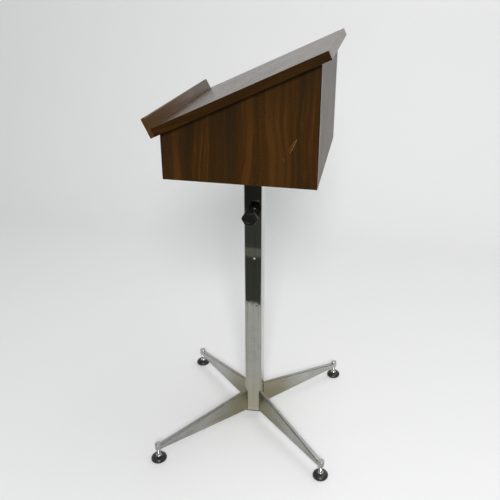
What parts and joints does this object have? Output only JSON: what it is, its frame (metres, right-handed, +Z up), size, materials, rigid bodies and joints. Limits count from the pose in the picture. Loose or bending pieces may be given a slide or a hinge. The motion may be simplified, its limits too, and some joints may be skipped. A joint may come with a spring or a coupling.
{
  "type": "lectern stand",
  "caption": "Free-standing lectern: laminated box head with sloping reading board and book ledge on a telescoping square chrome column with four splayed legs.",
  "frame": {"origin": "on the floor under the column's axis, level with the undersides of the four glide pads", "axes": "+Z up along the column, +X towards the audience (the tall side of the box), -Y towards the clamp knob; the reader stands at -X"},
  "size_m": [0.4582, 0.4582, 1.0454],
  "materials": {
    "walnut_laminate": "satin walnut-grain laminate with vertical streaks",
    "raw_wood": "sanded, unfinished",
    "worn_chrome": "aged, slightly hazy chrome plate",
    "zinc_steel": "zinc plated",
    "black_oxide_steel": "black oxide",
    "black_plastic": "moulded, satin",
    "black_nylon": "moulded, matt",
    "brass": "turned"
  },
  "bodies": {
    "base": {"outer_column": "worn_chrome", "top_bush": "black_nylon", "base_cap": "black_plastic", "stop_rivet": "worn_chrome", "clamp_boss": "black_oxide_steel", "leg_front_left": "worn_chrome", "leg_front_right": "worn_chrome", "leg_back_right": "worn_chrome", "leg_back_left": "worn_chrome", "glide_socket_front_left": "worn_chrome", "glide_socket_front_right": "worn_chrome", "glide_socket_back_right": "worn_chrome", "glide_socket_back_left": "worn_chrome"},
    "mast_and_head": {"reading_board": "walnut_laminate", "book_ledge": "walnut_laminate", "near_side_panel": "walnut_laminate", "far_side_panel": "walnut_laminate", "tall_panel": "walnut_laminate", "shelf_panel": "walnut_laminate", "corner_block_near": "raw_wood", "corner_block_far": "raw_wood", "angle_bracket_low_near": "zinc_steel", "angle_bracket_low_far": "zinc_steel", "angle_bracket_high_near": "zinc_steel", "angle_bracket_high_far": "zinc_steel", "board_screw_low_near": "zinc_steel", "board_screw_low_far": "zinc_steel", "board_screw_high_near": "zinc_steel", "board_screw_high_far": "zinc_steel", "side_screw_low_near": "zinc_steel", "side_screw_low_far": "zinc_steel", "side_screw_high_near": "zinc_steel", "side_screw_high_far": "zinc_steel", "shelf_dowel_front_near": "raw_wood", "shelf_dowel_front_far": "raw_wood", "shelf_dowel_back_near": "raw_wood", "shelf_dowel_back_far": "raw_wood", "mounting_plate": "zinc_steel", "plate_screw_front_left": "zinc_steel", "plate_screw_front_right": "zinc_steel", "plate_screw_back_right": "zinc_steel", "plate_screw_back_left": "zinc_steel", "inner_tube": "worn_chrome", "guide_shoe": "black_nylon"},
    "clamp_pad": {"pressure_pad": "brass"},
    "clamp_screw": {"clamp_stud": "black_oxide_steel", "clamp_knob": "black_plastic"},
    "glide_pad_front_left": {"glide_pad_front_left": "black_plastic"},
    "glide_stem_front_left": {"glide_stem_front_left": "worn_chrome"},
    "glide_pad_front_right": {"glide_pad_front_right": "black_plastic"},
    "glide_stem_front_right": {"glide_stem_front_right": "worn_chrome"},
    "glide_pad_back_right": {"glide_pad_back_right": "black_plastic"},
    "glide_stem_back_right": {"glide_stem_back_right": "worn_chrome"},
    "glide_pad_back_left": {"glide_pad_back_left": "black_plastic"},
    "glide_stem_back_left": {"glide_stem_back_left": "worn_chrome"}
  },
  "joints": [
    {"name": "height_slide", "type": "slide", "parent": "base", "child": "mast_and_head", "axis": [0, 0, 1], "range_m": [-0.04, 0.209]},
    {"name": "clamp_travel", "type": "slide", "parent": "base", "child": "clamp_pad", "axis": [0, -1, 0], "range_m": [0, 0.00317]},
    {"name": "clamp_turn", "type": "hinge", "parent": "clamp_pad", "child": "clamp_screw", "pos_m": [0, -0.06, 0.6275], "axis": [0, -1, 0], "range_deg": [0, 721]},
    {"name": "glide_rise_front_left", "type": "slide", "parent": "base", "child": "glide_pad_front_left", "axis": [0, 0, 1], "range_m": [-0.004, 0.005]},
    {"name": "glide_turn_front_left", "type": "hinge", "parent": "glide_pad_front_left", "child": "glide_stem_front_left", "pos_m": [-0.20959, -0.20959, 0.03], "axis": [0, 0, 1], "range_deg": [-1135, 1135]},
    {"name": "glide_rise_front_right", "type": "slide", "parent": "base", "child": "glide_pad_front_right", "axis": [0, 0, 1], "range_m": [-0.004, 0.005]},
    {"name": "glide_turn_front_right", "type": "hinge", "parent": "glide_pad_front_right", "child": "glide_stem_front_right", "pos_m": [0.20959, -0.20959, 0.03], "axis": [0, 0, 1], "range_deg": [-1135, 1135]},
    {"name": "glide_rise_back_right", "type": "slide", "parent": "base", "child": "glide_pad_back_right", "axis": [0, 0, 1], "range_m": [-0.004, 0.005]},
    {"name": "glide_turn_back_right", "type": "hinge", "parent": "glide_pad_back_right", "child": "glide_stem_back_right", "pos_m": [0.20959, 0.20959, 0.03], "axis": [0, 0, 1], "range_deg": [-1135, 1135]},
    {"name": "glide_rise_back_left", "type": "slide", "parent": "base", "child": "glide_pad_back_left", "axis": [0, 0, 1], "range_m": [-0.004, 0.005]},
    {"name": "glide_turn_back_left", "type": "hinge", "parent": "glide_pad_back_left", "child": "glide_stem_back_left", "pos_m": [-0.20959, 0.20959, 0.03], "axis": [0, 0, 1], "range_deg": [-1135, 1135]}
  ],
  "couplings": [
    {"joint": "clamp_turn", "follows": "clamp_travel", "rad_per_m": 3957.9},
    {"joint": "glide_turn_front_left", "follows": "glide_rise_front_left", "rad_per_m": 3957.9},
    {"joint": "glide_turn_front_right", "follows": "glide_rise_front_right", "rad_per_m": 3957.9},
    {"joint": "glide_turn_back_right", "follows": "glide_rise_back_right", "rad_per_m": 3957.9},
    {"joint": "glide_turn_back_left", "follows": "glide_rise_back_left", "rad_per_m": 3957.9}
  ]
}
